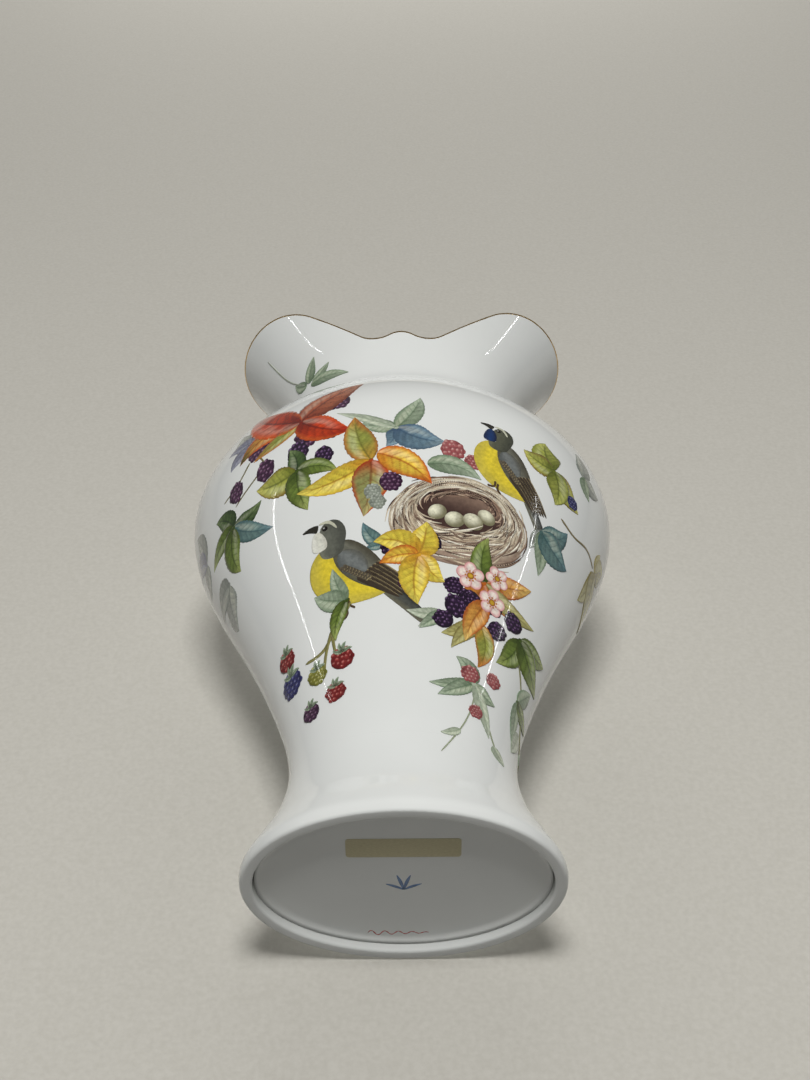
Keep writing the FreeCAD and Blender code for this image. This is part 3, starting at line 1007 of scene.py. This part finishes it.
stems("right_vine", [[(45, 92), (48, 82), (50, 72), (53, 60), (58, 52)]], (150, 150, 110), 0.3)
cluster("low_green", (46.5, 94), [
    ("leaf", 62, 102, 8, 0.07),
    ("leaf", 45, 76, 9, -0.1),
    ("leaf", 66, 91, 12, 0.06),
])
cluster("vine", (49, 72), [
    ("sage", 60, 74, 6, 0.0),
    ("sage", 42, 58, 5, 0.01),
    ("leaf", 57, 63, 6, 0.1),
])
stems("left_vine", [
    [(27, 69), (24, 57), (19, 46), (13, 35)],
    [(27, 68), (31, 56), (34, 46)],
], (168, 176, 148), 0.25)
cluster("faded", (27, 68), [
    ("sage", 16, 75, 7, 0.15),
    ("sage", 9, 61, 5, -0.05),
    ("sage", 37, 68, 6, 0.08),
    ("sage", 20, 55, 6, 0.0),
    ("pale", 38, 51, 5, -0.03),
])
enamel("vine_leaves", [
    leaf("pale", (33, 46), (38, 39), 4, 0.0),
    leaf("pale", (20, 48), (13, 45), 3.5, 0.1),
    leaf("pale", (50, 62), (44, 51), 6, 0.0),
    leaf("pale", (54, 58), (62, 52), 5, 0.1),
])
berry("faded_berry_1", "pink", 24.8, 72.2, 3.3)
berry("faded_berry_2", "pink", 32.6, 74.2, 2.8)
berry("faded_berry_3", "pink", 26.2, 56.8, 2.6)

stems("perch", [
    [(-19, 101), (-21, 97), (-25, 91), (-29.5, 84), (-37, 82)],
    [(-26, 91), (-28, 84), (-29, 76)],
    [(-26, 90), (-25, 84), (-24, 80)],
], (142, 138, 88), 0.55)
s, z, u, v = oval((-21.8, 96.2), 2.6, 0.75, 1.0, 18, 13)
bark = blend(ink(150, 132, 96), ink(88, 74, 52), ease(np.hypot(u, v), 0.2, 1.0))
enamel("perch_knot", [(s, z, plumage(u, v, bark, 14, 0.2))])
cluster("perch", (-23, 99), [
    ("sage", -38, 107, 6, -0.06),
    ("sage", -38, 94, 9, -0.07),
    ("leaf", -20, 84, 6, 0.11),
])
BRAMBLES = [
    ("red", -44.5, 87.0, 3.8),
    ("blue", -44.3, 77.0, 4.6),
    ("green", -32.4, 76.6, 3.7),
    ("red", -24.2, 77.4, 4.2),
    ("red", -23.8, 65.6, 3.7),
    ("plum", -36.3, 63.2, 3.5),
]
for k, (kind, s, z, radius) in enumerate(BRAMBLES):
    berry(f"bramble_{k + 1}", kind, s, z, radius, leafy=True)

NECK_SPRIG = [
    ("sage", (-45, 268), (-42, 280), 6, 0.05),
    ("sage", (-43, 267), (-34, 273), 5, -0.08),
    ("sage", (-44, 266), (-24, 262), 6, 0.05),
    ("sage", (-47, 268), (-55, 274), 5, 0.08),
]
for k, (colours, base, tip, width, bend) in enumerate(NECK_SPRIG):
    enamel(f"neck_leaf_{k + 1}", [leaf(colours, base, tip, width, bend)], on_neck)
s, z, u, v = stroke([(-48, 269), (-57, 277), (-66, 287), (-73, 296)], [0.2, 0.18, 0.14, 0.1], 40, 5)
enamel("neck_stalk", [(s, z, ink(176, 182, 166) + 0 * u[..., None])], on_neck)

# ---------------------------------------------------------------- underside: blank label, plain marks

label_low, label_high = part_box("paper_label")
LABEL_ROUND = 1.2


def label_rows():
    """The blank paper label as a flat sheet with rounded corners: points and faces."""
    low, high = np.array(label_low) / MM, np.array(label_high) / MM
    centre, half = (low + high) / 2, (high - low) / 2
    points = []
    for level in (low[2], high[2]):
        for way in np.linspace(0, 2 * math.pi, 32, endpoint=False):
            corner = (half[:2] - LABEL_ROUND) * np.sign((math.cos(way + 1e-6), math.sin(way + 1e-6)))
            x, y = centre[:2] + corner + LABEL_ROUND * np.array([math.cos(way), math.sin(way)])
            points.append((x, y, level))
    walls = [(k, (k + 1) % 32, (k + 1) % 32 + 32, k + 32) for k in range(32)]
    return points, [tuple(range(32))[::-1], tuple(range(32, 64))] + walls


points, faces = label_rows()
label = new_mesh("paper_label_rounded", points, faces, PAPER, range(len(faces)))
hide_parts("paper_label")

SPRIG_ROOT = -6.4


def underside_marks():
    """A small blue sprig and a red pen flourish, fired into the glaze."""
    layers["count"] = 0
    blue, patches = ink(96, 132, 178), []
    for turn in (0.35, 1.2, 1.94, 2.8):
        tip = (6.4 * math.cos(turn), -6.0 + 7.6 * math.sin(turn))
        middle = (0.55 * tip[0], SPRIG_ROOT + 0.62 * (tip[1] - SPRIG_ROOT))
        s, z, u, v = stroke([(0, SPRIG_ROOT), middle, tip], [0.25, 0.6, 0.15], 24, 7)
        patches.append((s, z, blue * (1 + 0.25 * mottle(u, v, 12))[..., None]))
    enamel("underside_sprig", patches, under_foot)
    wave = [(21 * u - 12.5, 1.3 * (1 - 0.8 * u) * math.sin(28 * u) - 29.6) for u in np.linspace(0, 1, 41)]
    s, z, u, v = stroke(wave, [0.12 + 0.12 * abs(math.sin(1.1 * k)) for k in range(41)], 180, 5)
    red = ink(186, 66, 62) * (1 + 0.3 * mottle(u, v, 20))[..., None]
    enamel("underside_flourish", [(s, z, red)], under_foot)


underside_marks()

# ---------------------------------------------------------------- camera, light, stage

LENS = 54
CAMERA_PLACE = Vector((0.00115, -0.42805, -0.34253))
TILT = math.radians(50.79)
ROLL = math.radians(0.36)
forward = Vector((0, math.cos(TILT), math.sin(TILT)))
level_up = Vector((0, -math.sin(TILT), math.cos(TILT)))
level_right = Vector((1, 0, 0))
right = level_right * math.cos(ROLL) - level_up * math.sin(ROLL)
up = level_up * math.cos(ROLL) + level_right * math.sin(ROLL)
lens = bpy.data.cameras.new("camera")
lens.sensor_width = 36
lens.lens = LENS
lens.clip_start = 0.01
camera = bpy.data.objects.new("camera", lens)
bpy.context.scene.collection.objects.link(camera)
turned = Matrix((right, up, -forward)).transposed().to_4x4()
camera.matrix_world = Matrix.Translation(CAMERA_PLACE) @ turned
bpy.context.scene.camera = camera

CENTRE = Vector((0, 0, 0.16))


def lamp(name, place, width, length, power, long_way=(0, 0, 1), seen=False):
    """An area light at a place, facing the vase, its length along a direction."""
    light = bpy.data.lights.new(name, "AREA")
    light.shape = "RECTANGLE"
    light.size, light.size_y = width, length
    light.energy = power
    holder = bpy.data.objects.new(name, light)
    bpy.context.scene.collection.objects.link(holder)
    back = (Vector(place) - CENTRE).normalized()
    side = Vector(long_way).cross(back).normalized()
    turned = Matrix((side, back.cross(side), back)).transposed().to_4x4()
    holder.matrix_world = Matrix.Translation(Vector(place)) @ turned
    holder.visible_glossy = seen
    holder.visible_camera = False


lamp("overhead", (0.0, -1.5, -0.12), 0.45, 0.45, 16.5)
lamp("back_fill", (0.0, 1.9, 1.0), 1.2, 1.2, 24)
lamp("top_fill", (0.0, -0.5, 1.9), 1.0, 1.0, 9)
# Two slim tubes of light give the thin streaks down the belly and the ears.
lamp("left_tube", (-1.69, -1.2, 0.815), 0.006, 0.54, 0.4, (0.73, 0, 0.68), seen=True)
lamp("right_tube", (1.92, -1.2, 0.838), 0.007, 0.56, 0.6, (-0.65, 0, 0.76), seen=True)

world = bpy.data.worlds.new("studio")
world.use_nodes = True
world.node_tree.nodes["Background"].inputs["Color"].default_value = (0.82, 0.81, 0.78, 1)
world.node_tree.nodes["Background"].inputs["Strength"].default_value = 0.2
bpy.context.scene.world = world
bpy.context.scene.view_settings.view_transform = "Standard"


def backdrop(name, corners):
    """A plain pale sheet that the camera sees through from its back."""
    mat, nodes, links, bsdf = shader(name, 0.9)
    weave = cloud(nodes, links, 500, 3)
    linen = [(0.3, (0.54, 0.52, 0.465)), (0.7, (0.59, 0.57, 0.515))]
    links.new(tones(nodes, links, weave, linen), bsdf.inputs["Base Color"])
    side = nodes.new("ShaderNodeNewGeometry")
    clear = nodes.new("ShaderNodeBsdfTransparent")
    choose = nodes.new("ShaderNodeMixShader")
    links.new(side.outputs["Backfacing"], choose.inputs["Fac"])
    links.new(bsdf.outputs["BSDF"], choose.inputs[1])
    links.new(clear.outputs["BSDF"], choose.inputs[2])
    links.new(choose.outputs["Shader"], nodes["Material Output"].inputs["Surface"])
    mesh = bpy.data.meshes.new(name)
    mesh.from_pydata(corners, [], [(0, 1, 2, 3)])
    mesh.materials.append(mat)
    sheet = bpy.data.objects.new(name, mesh)
    bpy.context.scene.collection.objects.link(sheet)
    return sheet


# The table the vase lies on in the photograph's view runs up behind its back.
FAR = 6.0
TABLE_SLOPE = 0.126
HEEL_BACK, HEEL_LEVEL = 0.0392, 0.003


def table_y(z):
    """How far back the table is at a level: it touches the foot's heel and leans away."""
    return HEEL_BACK + TABLE_SLOPE * (z - HEEL_LEVEL)


def table_corners():
    near, far = table_y(-FAR), table_y(FAR)
    return [(-FAR, near, -FAR), (FAR, near, -FAR), (FAR, far, FAR), (-FAR, far, FAR)]


table = backdrop("table", table_corners())
table.visible_shadow = False
table.visible_diffuse = False

# The floor under the upright vase is seen from above only and leaves the light alone.
floor = backdrop("floor", [(-FAR, -FAR, 0), (FAR, -FAR, 0), (FAR, FAR, 0), (-FAR, FAR, 0)])
for kind in ("visible_shadow", "visible_diffuse", "visible_glossy", "visible_transmission"):
    setattr(floor, kind, False)
